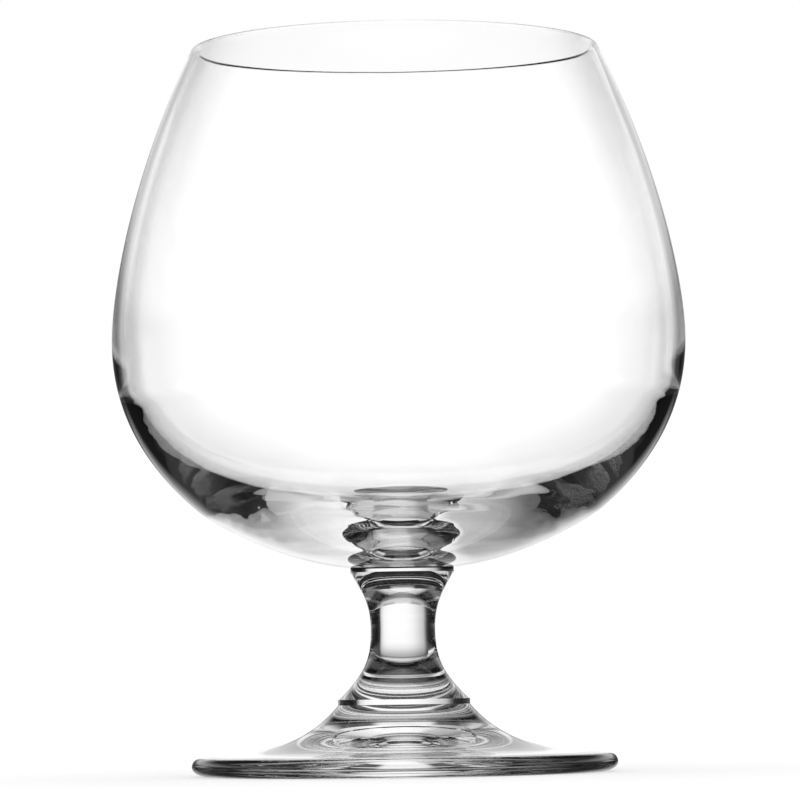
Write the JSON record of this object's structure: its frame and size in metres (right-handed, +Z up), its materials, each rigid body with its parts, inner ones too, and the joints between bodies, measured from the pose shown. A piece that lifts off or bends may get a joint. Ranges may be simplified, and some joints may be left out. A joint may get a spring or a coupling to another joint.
{
  "type": "brandy snifter",
  "caption": "Short-stemmed brandy snifter in clear glass: a wide bowl that narrows to the rim, a waisted stem and a round foot, fused end to end.",
  "frame": {"origin": "centre of the foot on the plane that its resting ring stands on", "axes": "+Z up along the glass's own axis of turning, towards the rim; +X and +Y are free, because the glass is round, and the reference view looks along +Y with +X to the right"},
  "size_m": [0.1, 0.1, 0.1268],
  "materials": {
    "clear_glass": "clear and colourless, fire-polished, smooth"
  },
  "bodies": {
    "root": {"bowl": "clear_glass", "stem": "clear_glass", "foot": "clear_glass"}
  },
  "joints": []
}
